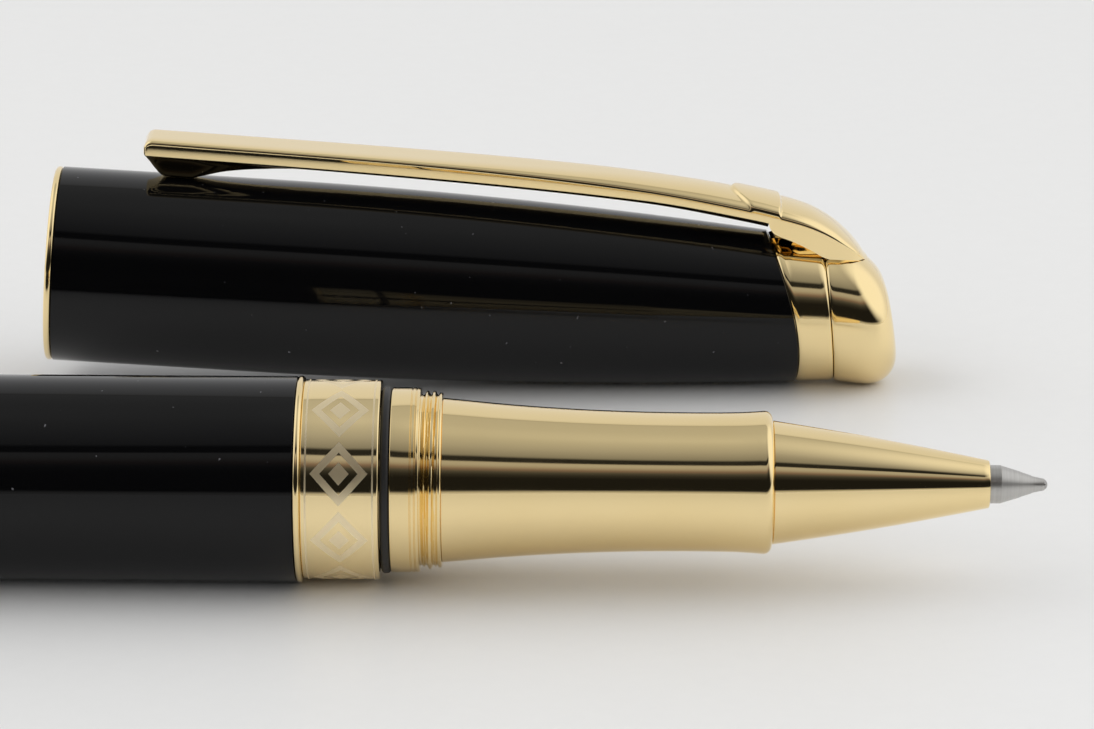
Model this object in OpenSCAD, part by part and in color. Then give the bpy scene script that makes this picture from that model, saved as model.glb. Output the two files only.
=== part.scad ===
// Rollerball pen, uncapped: the pen lies along +X and its cap lies beside it.
// The origin is on the pen's axis, at the front face of the centre band, where
// the cap seats. +X points to the writing tip and +Z points up.

/* [Barrel] */
// Diameter of the lacquered barrel
barrel_d = 12.3; // [11.5:0.1:15]
// Length of the lacquered barrel tube
barrel_len = 72; // [66:1:90]
// Length of the barrel's straight part, measured from its front end
barrel_straight = 42; // [30:1:50]
// Diameter of the lacquered barrel at its tail
tail_d = 9; // [8.6:0.1:9.6]
// Wall of the barrel tube
barrel_wall = 0.9; // [0.7:0.05:1]
// Length of the threaded insert inside the barrel
insert_len = 20; // [16:0.5:26]
// Width of the centre band
band_w = 4.62; // [3:0.1:8]
// How far the centre band stands in from the barrel's surface
band_step = 0.17; // [0:0.01:0.3]
// Width of the bead ring behind the centre band
ring_w = 0.42; // [0.3:0.02:0.8]
// How far the bead ring stands proud of the barrel
ring_proud = 0.05; // [0:0.01:0.2]
// Length of the end button at the tail
tail_cap_len = 3.3; // [2.5:0.1:6]
// Width of the ring between the barrel and the end button
tail_ring_w = 0.6; // [0.4:0.05:1]

/* [Front section] */
// Outer diameter of the seal ring
seal_d = 11.2; // [11:0.05:11.3]
// Width of the seal ring
seal_w = 0.46; // [0.3:0.02:0.6]
// Diameter of the plain collar in front of the seal ring
collar_d = 11.08; // [10.9:0.02:11.1]
// Width of the plain collar
collar_w = 1.15; // [0.8:0.05:1.6]
// Crest diameter of the thread that holds the cap
cap_thread_d = 10.54; // [10.4:0.02:10.6]
// Depth of the cap thread
cap_thread_depth = 0.25; // [0.1:0.01:0.3]
// Pitch of the cap thread
cap_thread_pitch = 0.45; // [0.35:0.05:0.6]
// Number of crests on the cap thread
cap_thread_crests = 4; // [3:1:5]
// Diameter of the grip where it meets the cap thread
grip_back_d = 9.8; // [9.4:0.1:9.9]
// Diameter of the grip at its waist
grip_waist_d = 8.36; // [8.2:0.02:9]
// Length of the grip
grip_len = 19.7; // [16:0.5:24]
// Diameter of the rounded bead at the front end of the grip
grip_bead_d = 8.6; // [8.5:0.05:9.2]
// Diameter of the nose cone at its base
cone_base_d = 7.42; // [7.2:0.02:8]
// Diameter of the nose cone at its mouth
cone_mouth_d = 2.9; // [2.8:0.05:3.4]
// Length of the nose cone
cone_len = 13; // [11:0.5:16]
// Crest diameter of the thread that joins the section to the barrel
joint_thread_d = 9.1; // [8.8:0.05:9.2]
// Pitch of the thread that joins the section to the barrel
joint_thread_pitch = 0.7; // [0.5:0.05:0.8]
// Number of turns of that thread
joint_thread_turns = 8; // [6:1:9]
// Length of the tenon that enters the barrel
tenon_len = 10; // [8:0.5:12]

/* [Refill] */
// Diameter of the refill tube
refill_d = 6.1; // [5.6:0.05:6.2]
// Overall length of the refill with its ball
refill_len = 111; // [106:1:114]
// Wall of the refill tube
refill_wall = 0.3; // [0.2:0.05:0.5]
// Diameter of the refill's plastic neck
refill_neck_d = 3.2; // [3:0.1:3.4]
// Diameter of the steel writing tip at its straight collar
tip_d = 2.3; // [2.2:0.05:2.4]
// How far the writing tip stands out of the nose cone
tip_reach = 3.49; // [2.5:0.05:4]
// Length of the tapered end of the writing tip, with its ball
tip_taper_len = 2.76; // [2:0.05:3.2]
// Diameter of the writing ball
ball_d = 0.7; // [0.5:0.05:1]

/* [Cap] */
// Diameter of the cap at its mouth
cap_d = 13.1; // [13:0.1:15]
// Overall length of the cap without the clip
cap_len = 57.1; // [55:0.1:62]
// Wall of the cap tube
cap_wall = 0.6; // [0.5:0.05:0.65]
// Width of the gold rim at the cap's mouth
cap_rim_w = 0.5; // [0.3:0.05:1]
// Length of the cap's straight part
cap_straight = 14; // [10:0.5:18]
// Bow of the cap's taper: a larger number tapers less
cap_bow = 860; // [820:10:1200]
// Width of the crown in front of its seam, on the axis
crown_w = 4.55; // [3.8:0.05:5]
// Width of the gold head behind that seam, on the axis
head_w = 2.85; // [2.4:0.05:3.2]
// Angle of the slanted edge between the lacquer and the gold head
head_slant = 16; // [0:1:18]
// Angle of the slanted seam between the gold head and the crown
seam_slant = 9; // [0:1:10]
// Angle of the crown's slanted end face
crown_slant = 8; // [0:1:10]
// Length of the threaded insert in the cap's mouth
cap_insert_len = 9; // [7:0.5:12]

/* [Clip] */
// Length of the clip from its nose to its free end
clip_len = 49.2; // [44:0.2:49.4]
// Height of the clip's top above the cap's side, at its free end
clip_rise = 2.8; // [2.5:0.05:3.4]
// Width of the clip at its free end
clip_end_w = 4.1; // [3.4:0.1:5]
// Width of the clip's hood over the crown
clip_hood_w = 5.8; // [5.2:0.1:6.4]
// Distance from the cap's mouth to the middle of the clip's foot
clip_foot_at = 8.1; // [7.6:0.1:9]
// Gap between the clip's foot and the cap when the clip is closed
clip_gap = 0.06; // [0.04:0.01:0.2]

/* [Where the cap lies] */
// Distance from the pen's axis to the cap's mouth
cap_aside = 39.2; // [20:0.2:60]
// Distance from the seat back to the cap's mouth, along the pen
cap_back = 24; // [0:0.5:60]
// Angle that the crown is swung away from the pen, seen from above
cap_yaw = 1.4; // [0:0.2:20]
// Angle that the clip leans away from the pen
cap_roll = 2; // [0:1:40]

/* [Hidden] */
$fn = 96;

gold = [0.90, 0.72, 0.38];
brass = [0.78, 0.62, 0.30];
lacquer = [0.03, 0.03, 0.035];
steel = [0.72, 0.73, 0.75];
rubber = [0.05, 0.05, 0.05];
plastic = [0.85, 0.86, 0.88];
smoke = [0.25, 0.26, 0.28];
fibre = [0.10, 0.12, 0.30];

slack = 0.02;      // gap left between pieces that seat on each other
run = 0.05;        // radial clearance of pieces that slide or turn
arc_steps = 16;    // steps that an arc or a taper is drawn in

// Barrel, derived
barrel_r = barrel_d / 2;
ring_r = barrel_r + ring_proud;
band_r = barrel_r - band_step;
bore_r = barrel_r - barrel_wall;
barrel_front = -(band_w + ring_w);
barrel_back = barrel_front - barrel_len;
tail_r = tail_d / 2;
taper_len = barrel_len - barrel_straight;
tail_lip_w = 0.85;
tail_lip_r = tail_r - 1.45;
tail_screw_r = 1.5;
seat_w = 1.2;
seat_front = barrel_back + tail_lip_w + seat_w;
joint_r = joint_thread_d / 2;
joint_root_r = joint_r - 0.3;
joint_thread_start = -tenon_len + 1;

// Section, derived
collar_start = seal_w + 0.16;
collar_end = collar_start + collar_w;
cap_thread_start = collar_end + 0.28;
cap_thread_r = cap_thread_d / 2;
cap_thread_root_r = cap_thread_r - cap_thread_depth;
grip_start = cap_thread_start + cap_thread_crests * cap_thread_pitch - 0.19;
grip_end = grip_start + grip_len;
cone_end = grip_end + cone_len;
section_bore_r = refill_d / 2 + 0.25;
front_tenon_len = 5;
front_tenon_r = grip_back_d / 2 - 0.8;
cone_tenon_len = 1.6;
cone_tenon_r = section_bore_r + 0.1;
refill_stop = grip_end - cone_tenon_len;
seal_seat_r = seal_d / 2 - 0.6;

// Refill, derived
tip_end = cone_end + tip_reach;
ball_r = ball_d / 2;
ball_at = tip_end - ball_r;
tip_taper_start = tip_end - tip_taper_len;
tip_r = tip_d / 2;
neck_r = refill_neck_d / 2;
neck_end = cone_end - 5.4;
tip_spigot_len = 3;
tip_spigot_r = tip_r - 0.2;
refill_r = refill_d / 2;
tube_bore_r = refill_r - refill_wall;
refill_back = tip_end - refill_len;
tube_back = refill_back + 2.6;
tube_front = refill_stop - slack - 2.6;
plug_spigot_len = 2.5;
head_spigot_len = 4;
feed_r = 0.4;
feed_back = tube_front - 12;
feed_front = tip_taper_start + 0.6;

// Cap, derived: x along the cap from its mouth, z towards the clip
cap_r = cap_d / 2;
seam_at = cap_len - crown_w;
head_at = seam_at - head_w;
function cap_r_at(x) = cap_r - pow(max(0, x - cap_straight), 2) / cap_bow;
head_spigot_back = head_at - 4.7;
head_bore_r = 3.6;
head_wall_at = seam_at - 1.3;
crown_r = cap_r_at(seam_at) - 0.05;
crown_corner = 2.6;
insert_r = cap_r - cap_wall;
mouth_bore_r = seal_d / 2 + run;
cap_screw_r = 1;
screw_head_r = 1.6;
screw_head_w = 0.6;

// Clip, derived
clip_nose = cap_len - 2.1;
clip_nose_z = crown_r - 0.27; // the nose dips a little below the crown's surface
clip_end = clip_nose - clip_len;
clip_height = cap_r + clip_rise;
clip_bend_at = 36;
clip_rib_steps = 8;
hood_gap = 0.1;    // more room under the hood than under the foot
hood_fall = 0.15;  // how fast the hood's underside drops towards its nose
drawbar_x = 1.4;
drawbar_behind_edge = 0.25; // from the lacquer's slanted edge to the drawbar
drawbar_at = head_at - cap_r_at(head_at) * tan(head_slant) + drawbar_behind_edge + drawbar_x / 2;
drawbar_y = 1.8;
drawbar_set = 0.4; // how far the drawbar is set into the hood
keeper_top = -2.5;
keeper_t = 0.5;
keeper_r = 1.7;
clip_spring_top = 3.05;

// Springs
rear_spring_r = 2.1;
rear_wire_d = 0.4;
rear_turns = 4.5;
clip_spring_r = 1.45;
clip_wire_d = 0.32;
clip_turns = 6.5;
spring_sides = 6;
spring_steps = 14;

// Where the cap lies: it rests on its taper
floor_z = -ring_r;
cap_rest_at = 41;
cap_tilt = atan(2 * (cap_rest_at - cap_straight) / cap_bow);
cap_z = floor_z + cap_rest_at * sin(cap_tilt) + cap_r_at(cap_rest_at) * cos(cap_tilt);

// A circular arc as points, from angle a to angle b
function arc(cx, cy, r, a, b, n = arc_steps) =
    [for (i = [0:n]) let (t = a + (b - a) * i / n) [cx + r * cos(t), cy + r * sin(t)]];

// The barrel's outer radius at x
function barrel_r_at(x) =
    barrel_r - (barrel_r - tail_r) * pow(max(0, barrel_front - barrel_straight - x) / taper_len, 2);

// A profile of [radius, x] points, turned about the X axis
module turned(points) rotate([0, 90, 0]) rotate_extrude() polygon(points);

// A plain tube or disc along X
module sleeve(r, bore, x0, x1) turned([[bore, x0], [r, x0], [r, x1], [bore, x1]]);

// A tube whose outer edges are chamfered
module soft_sleeve(r, bore, x0, x1, c) turned([
    [bore, x0], [r - c, x0], [r, x0 + c], [r, x1 - c], [r - c, x1], [bore, x1]
]);

// A ring whose outer side is a half-round bead
module bead(r, bore, x0, x1) {
    half = (x1 - x0) / 2;
    turned(concat([[bore, x0]], arc(r - half, x0 + half, half, -90, 90), [[bore, x1]]));
}

// Zigzag [radius, x] points of a ring-grooved thread from x0 forwards
function thread_points(crest, root, x0, pitch, count) = [
    for (i = [0:count - 1]) each [
        [root, x0 + i * pitch],
        [crest, x0 + (i + 0.38) * pitch],
        [crest, x0 + (i + 0.62) * pitch]
    ]
];

// A coil spring about the Z axis, as one swept polyhedron
module coil(r, wire_d, turns, z0, z1) {
    rings = round(turns * spring_steps);
    rise = z1 - z0 - wire_d;
    points = [
        for (i = [0:rings], k = [0:spring_sides - 1])
            let (a = 360 * turns * i / rings, b = 360 * k / spring_sides,
                 s = r + wire_d / 2 * cos(b))
            [s * cos(a), s * sin(a), z0 + wire_d / 2 + rise * i / rings + wire_d / 2 * sin(b)]
    ];
    sides = [
        for (i = [0:rings - 1], k = [0:spring_sides - 1])
            let (n = (k + 1) % spring_sides, p = i * spring_sides, q = p + spring_sides)
            [p + k, q + k, q + n, p + n]
    ];
    last = rings * spring_sides;
    ends = [
        [for (k = [0:spring_sides - 1]) k],
        [for (k = [spring_sides - 1:-1:0]) last + k]
    ];
    polyhedron(points, concat(sides, ends), convexity = 10);
}

// Puts a piece drawn along the cap's own axis where the cap lies
module in_cap()
    translate([-cap_back, cap_aside, cap_z])
    rotate([0, 0, cap_yaw]) rotate([0, cap_tilt, 0]) rotate([-cap_roll, 0, 0])
    children();

// ---- Barrel ----

module barrel_shell() color(lacquer) {
    tail = [for (i = [0:arc_steps]) barrel_front - barrel_straight - taper_len * i / arc_steps];
    outer = concat([[barrel_r, barrel_front]], [for (x = tail) [barrel_r_at(x), x]]);
    inner = concat([[bore_r, barrel_front]],
                   [for (x = tail) if (x > barrel_back + tail_lip_w) [barrel_r_at(x) - barrel_wall, x]],
                   [[barrel_r_at(barrel_back + tail_lip_w) - barrel_wall, barrel_back + tail_lip_w],
                    [tail_lip_r, barrel_back + tail_lip_w], [tail_lip_r, barrel_back]]);
    turned(concat(outer, [for (i = [len(inner) - 1:-1:0]) inner[i]]));
}

module barrel_insert() color(brass) turned([
    [bore_r, -insert_len], [bore_r, 0], [joint_r + run, 0], [joint_r + run, -tenon_len - 1],
    [section_bore_r, -tenon_len - 1], [section_bore_r, -insert_len]
]);

module centre_band() color(gold) soft_sleeve(band_r, bore_r, -band_w, 0, 0.1);

module barrel_ring() color(gold) bead(ring_r, bore_r, barrel_front, -band_w);

module tail_ring() color(gold)
    bead(tail_r + ring_proud, tail_screw_r, barrel_back - tail_ring_w, barrel_back);

module tail_cap() color(gold) {
    front = barrel_back - tail_ring_w;
    back = front - tail_cap_len;
    r = tail_r - 0.1;
    corner = 1.3;
    turned(concat(
        [[0, back]], arc(r - corner, back + corner, corner, -90, 0),
        [[r, front], [tail_screw_r, front], [tail_screw_r, back + 1], [0, back + 1]]
    ));
}

module tail_screw() color(steel) {
    start = barrel_back - tail_ring_w - tail_cap_len + 1.1;
    sleeve(tail_screw_r - slack, 0, start, seat_front - 0.3);
}

module spring_seat() color(brass) {
    lip_front = barrel_back + tail_lip_w;
    turned([
        [tail_screw_r, barrel_back + slack], [tail_lip_r - slack, barrel_back + slack],
        [tail_lip_r - slack, lip_front], [tail_lip_r + 0.35, lip_front],
        [tail_lip_r + 0.35, seat_front], [0, seat_front], [0, seat_front - 0.25],
        [tail_screw_r, seat_front - 0.25]
    ]);
}

module refill_spring() color(steel)
    rotate([0, 90, 0]) coil(rear_spring_r, rear_wire_d, rear_turns, seat_front + slack,
                            refill_back - slack);

// ---- Front section ----

module section_collar() color(gold) {
    turned(concat(
        [[section_bore_r, -tenon_len], [joint_root_r, -tenon_len]],
        thread_points(joint_r, joint_root_r, joint_thread_start, joint_thread_pitch,
                      joint_thread_turns),
        [[joint_root_r, joint_thread_start + joint_thread_turns * joint_thread_pitch],
         [joint_root_r, slack], [seal_seat_r, slack], [seal_seat_r, collar_start],
         [collar_d / 2 - 0.06, collar_start], [collar_d / 2, collar_start + 0.06],
         [collar_d / 2, collar_end - 0.32], [collar_d / 2 - 0.05, collar_end - 0.27],
         [collar_d / 2 - 0.05, collar_end - 0.2], [collar_d / 2, collar_end - 0.15],
         [collar_d / 2 - 0.04, collar_end], [cap_thread_r - 0.03, collar_end + 0.06],
         [cap_thread_r - 0.03, cap_thread_start - 0.06]],
        thread_points(cap_thread_r, cap_thread_root_r, cap_thread_start, cap_thread_pitch,
                      cap_thread_crests),
        [[grip_back_d / 2 + 0.05, grip_start], [front_tenon_r, grip_start],
         [front_tenon_r, grip_start + front_tenon_len],
         [section_bore_r, grip_start + front_tenon_len]]
    ));
}

module seal_ring() color(rubber) {
    c = 0.14;
    x0 = 0.12;
    x1 = x0 + seal_w;
    turned(concat(
        [[seal_seat_r, x0]], arc(seal_d / 2 - c, x0 + c, c, -90, 0, 6),
        arc(seal_d / 2 - c, x1 - c, c, 0, 90, 6), [[seal_seat_r, x1]]
    ));
}

// The grip's radius at a share s of its length: wide at the back, then a long waist
function grip_r_at(s) =
    let (back = grip_back_d / 2, waist = grip_waist_d / 2, dip = 0.72)
    waist + (back - waist) * pow(abs(s - dip) / dip, 2.1);

module grip() color(gold) {
    bead_c = 0.55;
    bead_r = grip_bead_d / 2;
    waist_len = grip_len - 2 * bead_c;
    steps = 2 * arc_steps;
    turned(concat(
        [[front_tenon_r, grip_start]],
        [for (i = [0:steps]) [grip_r_at(i / steps * 0.93), grip_start + waist_len * i / steps]],
        arc(bead_r - bead_c, grip_end - bead_c, bead_c, 30, 90, 8),
        [[cone_tenon_r, grip_end], [cone_tenon_r, refill_stop - slack],
         [section_bore_r, refill_stop - slack],
         [section_bore_r, grip_start + front_tenon_len + slack],
         [front_tenon_r, grip_start + front_tenon_len + slack]]
    ));
}

module nose_cone() color(gold) {
    base = cone_base_d / 2;
    mouth = cone_mouth_d / 2;
    edge = 0.12;
    swell = 0.1;
    turned(concat(
        [[neck_r + 0.1, refill_stop], [cone_tenon_r - slack, refill_stop],
         [cone_tenon_r - slack, grip_end + slack]],
        [for (i = [0:arc_steps]) let (s = i / arc_steps)
            [base + (mouth - base) * s + swell * sin(180 * s),
             grip_end + slack + (cone_len - slack - edge) * s]],
        [[mouth - edge, cone_end], [tip_r + run, cone_end],
         [tip_r + run, neck_end + 0.3], [neck_r + 0.1, neck_end + 0.3]]
    ));
}

// ---- Refill ----

module refill_tube() color(plastic) sleeve(refill_r, tube_bore_r, tube_back, tube_front);

module refill_plug() color(smoke) turned([
    [feed_r, refill_back], [refill_r - 0.3, refill_back], [refill_r, refill_back + 0.3],
    [refill_r, tube_back], [tube_bore_r, tube_back], [tube_bore_r, tube_back + plug_spigot_len],
    [feed_r, tube_back + plug_spigot_len]
]);

module refill_head() color(smoke) {
    shoulder = refill_stop - slack;
    turned([
        [feed_r + run, tube_front - head_spigot_len], [tube_bore_r, tube_front - head_spigot_len],
        [tube_bore_r, tube_front], [refill_r, tube_front], [refill_r, shoulder - 0.3],
        [refill_r - 0.3, shoulder], [neck_r, shoulder], [neck_r, neck_end],
        [tip_spigot_r, neck_end], [tip_spigot_r, neck_end - tip_spigot_len],
        [feed_r + run, neck_end - tip_spigot_len]
    ]);
}

module ink_reservoir() color(fibre) turned([
    [0, tube_back + plug_spigot_len + 1], [tube_bore_r - run, tube_back + plug_spigot_len + 1],
    [tube_bore_r - run, tube_front - head_spigot_len - 1],
    [feed_r + run, tube_front - head_spigot_len - 1], [feed_r + run, feed_back - slack],
    [0, feed_back - slack]
]);

module feed_rod() color(fibre) sleeve(feed_r, 0, feed_back, feed_front);

module writing_tip() color(steel) {
    lip = ball_r * 0.4;
    socket_r = ball_r + 0.015;
    difference() {
        turned([
            [0, neck_end - tip_spigot_len], [tip_spigot_r, neck_end - tip_spigot_len],
            [tip_spigot_r, neck_end], [tip_r, neck_end], [tip_r, tip_taper_start],
            [ball_r + 0.16, ball_at - 0.55], [ball_r + 0.03, ball_at + lip], [0, ball_at + lip]
        ]);
        sleeve(feed_r + run, 0, neck_end - tip_spigot_len - 1, feed_front + 0.1);
        sleeve(0.12, 0, feed_front, ball_at);
        translate([ball_at, 0, 0]) sphere(socket_r);
    }
}

module writing_ball() color(steel) translate([ball_at, 0, 0]) sphere(ball_r);

// ---- Cap ----

module cap_rim() color(gold) in_cap() bead(cap_r, insert_r, 0, cap_rim_w);

// The space behind (-1) or in front of (+1) a slanted plane that crosses the axis at x
module slanted(x, angle, side) {
    deep = 90;
    translate([x, 0, 0]) rotate([0, -angle, 0])
        translate([side * deep / 2, 0, 0]) cube(deep, center = true);
}

module cap_shell() color(lacquer) in_cap() {
    last = head_at + 3;
    xs = [for (i = [0:arc_steps]) cap_straight + (last - cap_straight) * i / arc_steps];
    intersection() {
        turned(concat(
            [[insert_r, cap_rim_w], [cap_r, cap_rim_w]],
            [for (x = xs) [cap_r_at(x), x]],
            [for (i = [arc_steps:-1:0]) [cap_r_at(xs[i]) - cap_wall, xs[i]]]
        ));
        slanted(head_at, head_slant, -1);
    }
}

module cap_insert() color(brass) in_cap() {
    lead_in = collar_end + 0.3;
    crests = 6;
    minor_r = grip_back_d / 2 + 0.15;
    thread_end = lead_in + crests * cap_thread_pitch;
    turned(concat(
        [[insert_r, 0.06], [insert_r, cap_insert_len], [mouth_bore_r - 0.3, cap_insert_len],
         [mouth_bore_r - 0.3, thread_end]],
        [for (i = [crests - 1:-1:0]) each [
            [minor_r, lead_in + (i + 0.62) * cap_thread_pitch],
            [minor_r, lead_in + (i + 0.38) * cap_thread_pitch],
            [cap_thread_r + run, lead_in + i * cap_thread_pitch]
        ]],
        [[mouth_bore_r, lead_in - 0.05], [mouth_bore_r, 0.06]]
    ));
}

module inner_cap() color(smoke) in_cap() {
    back = cap_insert_len + slack;
    flange_w = 1.6;
    waist = 27;
    end = head_spigot_back - slack;
    end_r = cap_r_at(end) - cap_wall - run;
    wide = mouth_bore_r - 0.32;
    turned([
        [wide - 0.6, back], [insert_r - slack, back], [insert_r - slack, back + flange_w],
        [wide, back + flange_w], [wide, waist], [end_r, end - 2], [end_r, end],
        [0, end], [0, end - 0.9], [end_r - 1.6, end - 0.9], [wide - 0.6, waist]
    ]);
}

module crown_base() color(gold) in_cap() {
    spigot_r = cap_r_at(head_at + 2) - cap_wall - slack;
    start = head_at - 2;
    end = seam_at + 2;
    slot_x = drawbar_at - drawbar_x / 2 - 0.9;
    difference() {
        intersection() {
            union() {
                sleeve(spigot_r, 0, head_spigot_back, end);
                intersection() {
                    turned(concat([[0, start]],
                                  [for (i = [0:6]) let (x = start + (end - start) * i / 6)
                                      [cap_r_at(x) - 0.03, x]],
                                  [[0, end]]));
                    slanted(head_at + slack, head_slant, 1);
                }
            }
            slanted(seam_at - slack, seam_slant, -1);
        }
        sleeve(head_bore_r, 0, head_spigot_back - 1, head_wall_at);
        sleeve(cap_screw_r + run, 0, head_wall_at - 1, seam_at + 2);
        sleeve(screw_head_r + run, 0, head_wall_at - 1, head_wall_at + screw_head_w + slack);
        translate([slot_x, -drawbar_y / 2 - 0.15, 0])
            cube([drawbar_at + drawbar_x / 2 + 0.3 - slot_x, drawbar_y + 0.3, 10]);
    }
}

module crown() color(gold) in_cap() {
    back = seam_at - 2;
    difference() {
        intersection() {
            turned([[0, back], [crown_r, back], [crown_r + 0.1, cap_len - 2.5],
                    [crown_r, cap_len + 2], [0, cap_len + 2]]);
            slanted(seam_at, seam_slant, 1);
            translate([cap_len, 0, 0]) rotate([0, -crown_slant, 0]) turned(concat(
                [[0, -30], [crown_r + 4, -30], [crown_r + 4, -6], [crown_r + 0.3, -4]],
                arc(crown_r + 0.1 - crown_corner, -crown_corner - 0.3, crown_corner, 0, 78, 10),
                [[0, 0]]
            ));
        }
        sleeve(cap_screw_r - slack, 0, seam_at - 2, cap_len - 1.6);
    }
}

module crown_screw() color(steel) in_cap() {
    sleeve(cap_screw_r - 2 * slack, 0, head_wall_at, cap_len - 1.7);
    sleeve(screw_head_r, 0, head_wall_at, head_wall_at + screw_head_w);
}

// ---- Clip ----

function mix(a, b, s) = a + (b - a) * s;
function ease(s) = let (t = min(1, max(0, s))) t * t * (3 - 2 * t);

// Height of the clip's top line: almost straight, then curving down over the crown
function clip_top(x) =
    let (shoulder = clip_height - 0.5, s = max(0, x - clip_bend_at) / (clip_nose - clip_bend_at))
    x < clip_bend_at ? clip_height - 0.5 * pow((x - clip_end) / (clip_bend_at - clip_end), 2)
    : mix(clip_nose_z, shoulder, pow(max(0, 1 - pow(s, 2.3)), 0.58));

// Half width of the clip: it widens towards the crown and ends in a rounded point
function clip_half(x) =
    let (nose_len = 4.5, grow = ease((x - clip_end) / (clip_nose - nose_len - clip_end)),
         s = max(0, x - clip_nose + nose_len) / nose_len)
    max(0.25, mix(clip_end_w, clip_hood_w, grow) / 2 * pow(max(0, 1 - s * s), 0.6));

// Height of the crease between the clip's crowned top and its side
function clip_edge(x) =
    clip_top(x) - mix(0.6, 1.45, ease((x - 20) / 28)) * min(1, (clip_nose + 0.4 - x) / 4);

// Height of the clip's lower edge: a thin beam, then deep sides around the crown
function clip_low(x) =
    let (fade = min(1, (clip_nose + 0.4 - x) / 4),
         beam = mix(0.6, 0.8, ease((x - 20) / 24)) * fade,
         hood = 2 * ease((x - head_spigot_back - 1) / 6) * fade)
    clip_edge(x) - beam - hood;

// Depth of the foot under the clip, from its heel at the free end to its long toe
function foot_drop(x) =
    let (heel = ease((x - clip_end) / (clip_foot_at - 0.4 - clip_end)),
         toe = 1 - ease((x - clip_foot_at - 0.5) / 5))
    heel * toe;

// Height that the clip's underside keeps above the cap's axis, at x and y
function cap_top(x, y) =
    let (r = max(cap_r_at(x), crown_r + 0.1), corner = max(0, x - clip_nose + 2))
    sqrt(max(0, r * r - y * y)) + clip_gap + hood_gap - hood_fall * corner * corner;

// Underside of the clip: rounded, with the foot reaching down to the cap
function clip_under(x, y) =
    let (w = clip_half(x), round = pow(max(0, 1 - pow(y / w, 2)), 0.4),
         beam = mix(clip_edge(x), clip_low(x), round),
         rest = sqrt(pow(cap_r, 2) - y * y) + clip_gap,
         foot = mix(beam, min(beam, rest), foot_drop(x)))
    x < clip_bend_at ? foot : max(mix(beam, clip_low(x), ease((x - clip_bend_at - 8) / 4)),
                                  cap_top(x, y));

// One cross-section of the clip, with its middle last: crowned top, then underside
function clip_section(x) =
    let (n = clip_rib_steps, w = clip_half(x), top = clip_top(x), edge = clip_edge(x))
    concat(
        [for (i = [0:n]) let (t = 180 * i / n) [x, w * cos(t), edge + (top - edge) * pow(sin(t), 0.9)]],
        [for (i = [1:n - 1]) let (y = -w * cos(180 * i / n)) [x, y, min(edge, clip_under(x, y))]]
    );

module clip_arm() color(gold) in_cap() {
    hood_start = 44;
    stations = concat(
        [for (i = [0:11]) clip_end + 9 * i / 12],
        [for (i = [0:13]) mix(clip_end + 9, hood_start, i / 14)],
        [for (i = [0:18]) mix(hood_start, clip_nose, i / 18)]
    );
    rings = [for (x = stations) clip_section(x)];
    n = len(rings[0]);
    last = (len(rings) - 1) * n;
    middles = [for (x = [clip_end, clip_nose]) [x, 0, (clip_top(x) + clip_under(x, 0)) / 2]];
    middle = len(rings) * n;
    sides = [
        for (i = [0:len(rings) - 2], k = [0:n - 1])
            let (m = (k + 1) % n, p = i * n, q = p + n)
            each [[p + k, p + m, q + m], [p + k, q + m, q + k]]
    ];
    ends = [
        for (k = [0:n - 1]) let (m = (k + 1) % n)
            each [[middle, m, k], [middle + 1, last + k, last + m]]
    ];
    polyhedron(concat([for (r = rings) each r], middles), concat(sides, ends), convexity = 6);
}

module clip_drawbar() color(gold) in_cap() {
    top = clip_under(drawbar_at, 0) + drawbar_set;
    translate([drawbar_at - drawbar_x / 2, -drawbar_y / 2, keeper_top - keeper_t])
        cube([drawbar_x, drawbar_y, top - keeper_top + keeper_t]);
}

module clip_keeper() color(steel) in_cap() difference() {
    translate([drawbar_at, 0, keeper_top - keeper_t]) cylinder(r = keeper_r, h = keeper_t);
    translate([drawbar_at, 0, keeper_top])
        cube([drawbar_x + slack, drawbar_y + slack, 4 * keeper_t], center = true);
}

module clip_spring() color(steel) in_cap()
    translate([drawbar_at, 0, 0])
    coil(clip_spring_r, clip_wire_d, clip_turns, keeper_top + slack, clip_spring_top - slack);

barrel_shell();
barrel_insert();
centre_band();
barrel_ring();
tail_ring();
tail_cap();
tail_screw();
spring_seat();
refill_spring();
section_collar();
seal_ring();
grip();
nose_cone();
refill_tube();
refill_plug();
refill_head();
ink_reservoir();
feed_rod();
writing_tip();
writing_ball();
cap_rim();
cap_shell();
cap_insert();
inner_cap();
crown_base();
crown();
crown_screw();
clip_arm();
clip_drawbar();
clip_keeper();
clip_spring();
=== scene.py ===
"""Looks of a rollerball pen that lies uncapped, with its cap behind it.

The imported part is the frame: metres, +X along the pen towards its writing tip, +Z up, and the
origin on the pen's axis at the front face of the centre band. The pen's own sizes are written
in millimetres and become metres where a mesh is made. Along the cap, x runs from its mouth to
its crown and z points to the clip.
"""

import logging
import math
from bisect import bisect_right
from dataclasses import dataclass, field
from enum import Enum
from typing import Callable, Sequence

import bpy
from mathutils import Matrix, Vector

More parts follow.
